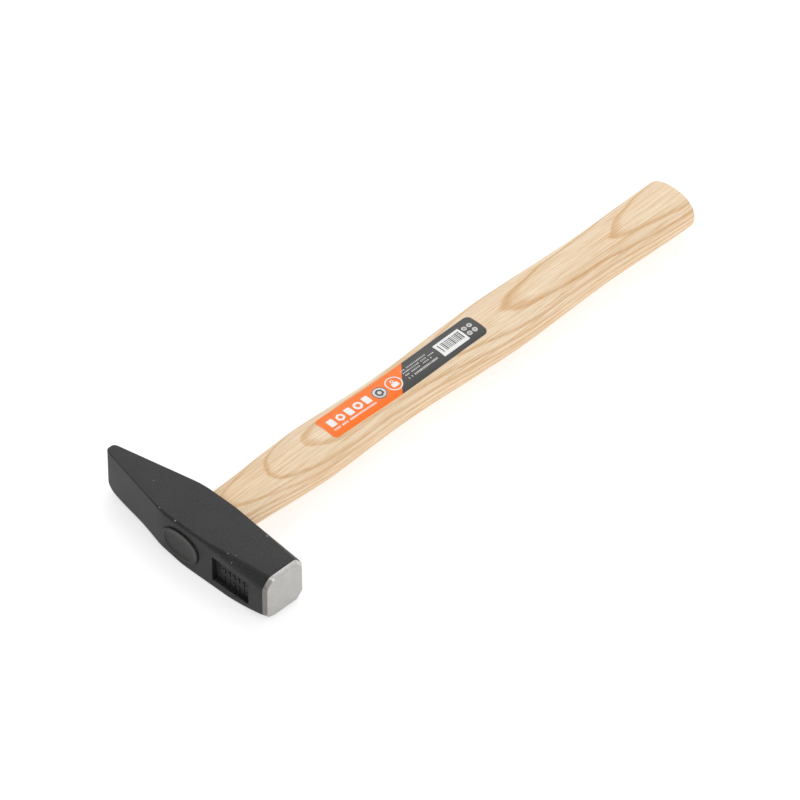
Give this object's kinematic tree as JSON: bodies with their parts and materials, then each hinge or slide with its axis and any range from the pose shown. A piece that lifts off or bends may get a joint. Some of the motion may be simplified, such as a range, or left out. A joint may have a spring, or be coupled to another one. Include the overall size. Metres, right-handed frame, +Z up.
{
  "type": "cross peen hammer",
  "caption": "Light cross peen hammer: black forged head with a bare square striking face and a wedge peen, on a waisted oval ash handle with a printed film label.",
  "frame": {"origin": "on the lower cheek of the head, which the hammer lies on, straight below the centre of the eye", "axes": "+X along the head from the peen to the striking face, +Y along the handle from the head to the butt, +Z up, across the cheeks"},
  "size_m": [0.105, 0.3007, 0.023],
  "materials": {
    "head_paint": "satin black lacquer on forged steel",
    "bare_steel": "finely ground steel",
    "ash": "clear lacquered ash, lengthwise grain",
    "wedge_wood": "plain beech",
    "seal_resin": "poured black resin, glossy",
    "label_film": "printed film, satin, orange with a dark grey end",
    "label_ink": "screen printed ink"
  },
  "bodies": {
    "root": {"head": "head_paint", "handle": "ash", "wooden_wedge": "wedge_wood", "ring_wedge": "bare_steel", "end_seal": "seal_resin", "label_film": "label_film", "label_print": "label_ink"}
  },
  "joints": []
}
